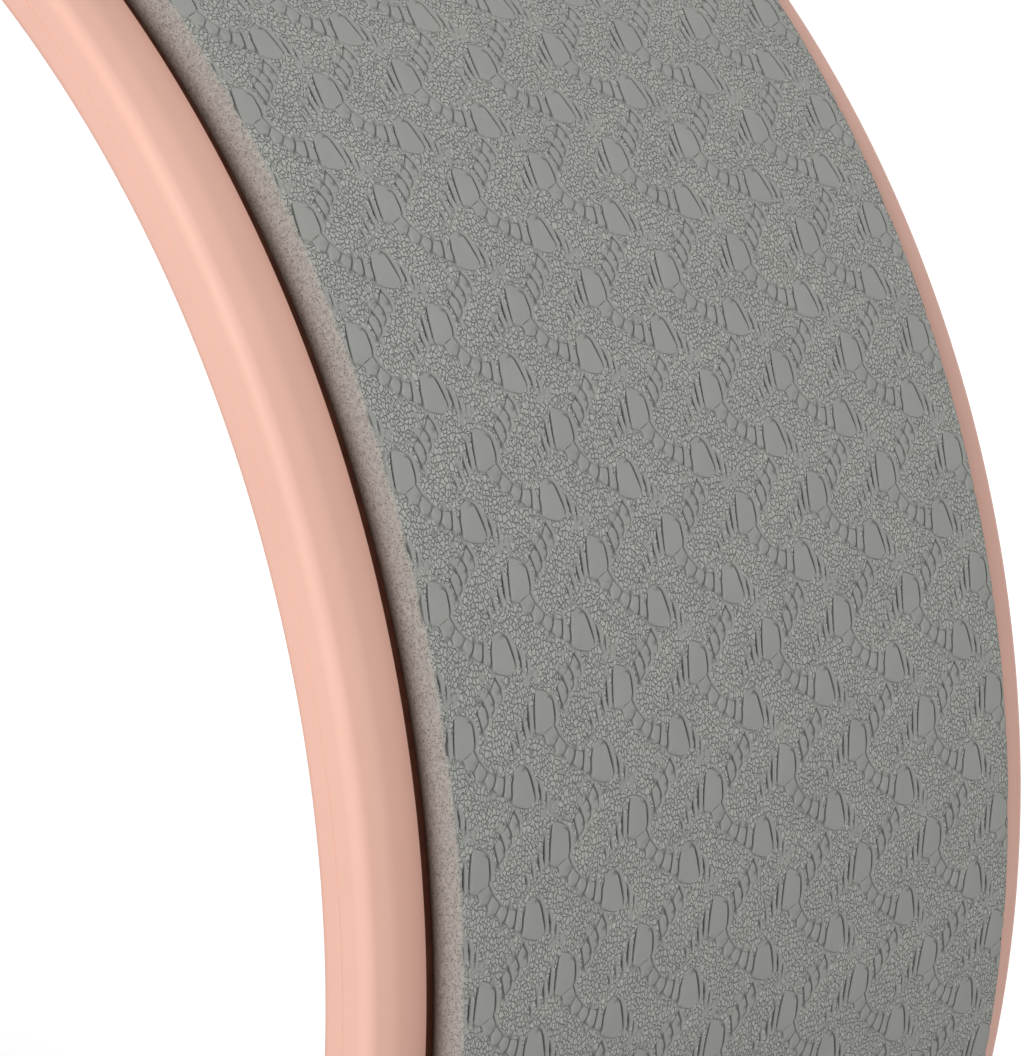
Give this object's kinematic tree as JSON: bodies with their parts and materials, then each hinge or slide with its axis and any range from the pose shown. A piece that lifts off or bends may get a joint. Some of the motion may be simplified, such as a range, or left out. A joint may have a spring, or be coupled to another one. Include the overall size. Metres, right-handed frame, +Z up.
{
  "type": "yoga wheel",
  "caption": "Wide open ring for back stretching: flanged plastic rim on an inner liner, wrapped with an embossed foam strip as its tread.",
  "frame": {"origin": "centre of the wheel, on the axle line at mid width", "axes": "+Y along the axle line away from the near side, +Z up, +X across; the wheel stands on its tread"},
  "size_m": [0.33, 0.13, 0.33],
  "materials": {
    "rim_plastic": "satin moulded",
    "pad_foam": "matte embossed closed-cell foam",
    "adhesive_film": "thin transfer tape"
  },
  "bodies": {
    "root": {"inner_liner": "rim_plastic", "near_rim": "rim_plastic", "far_rim": "rim_plastic", "pad_adhesive": "adhesive_film", "foam_pad": "pad_foam"}
  },
  "joints": []
}
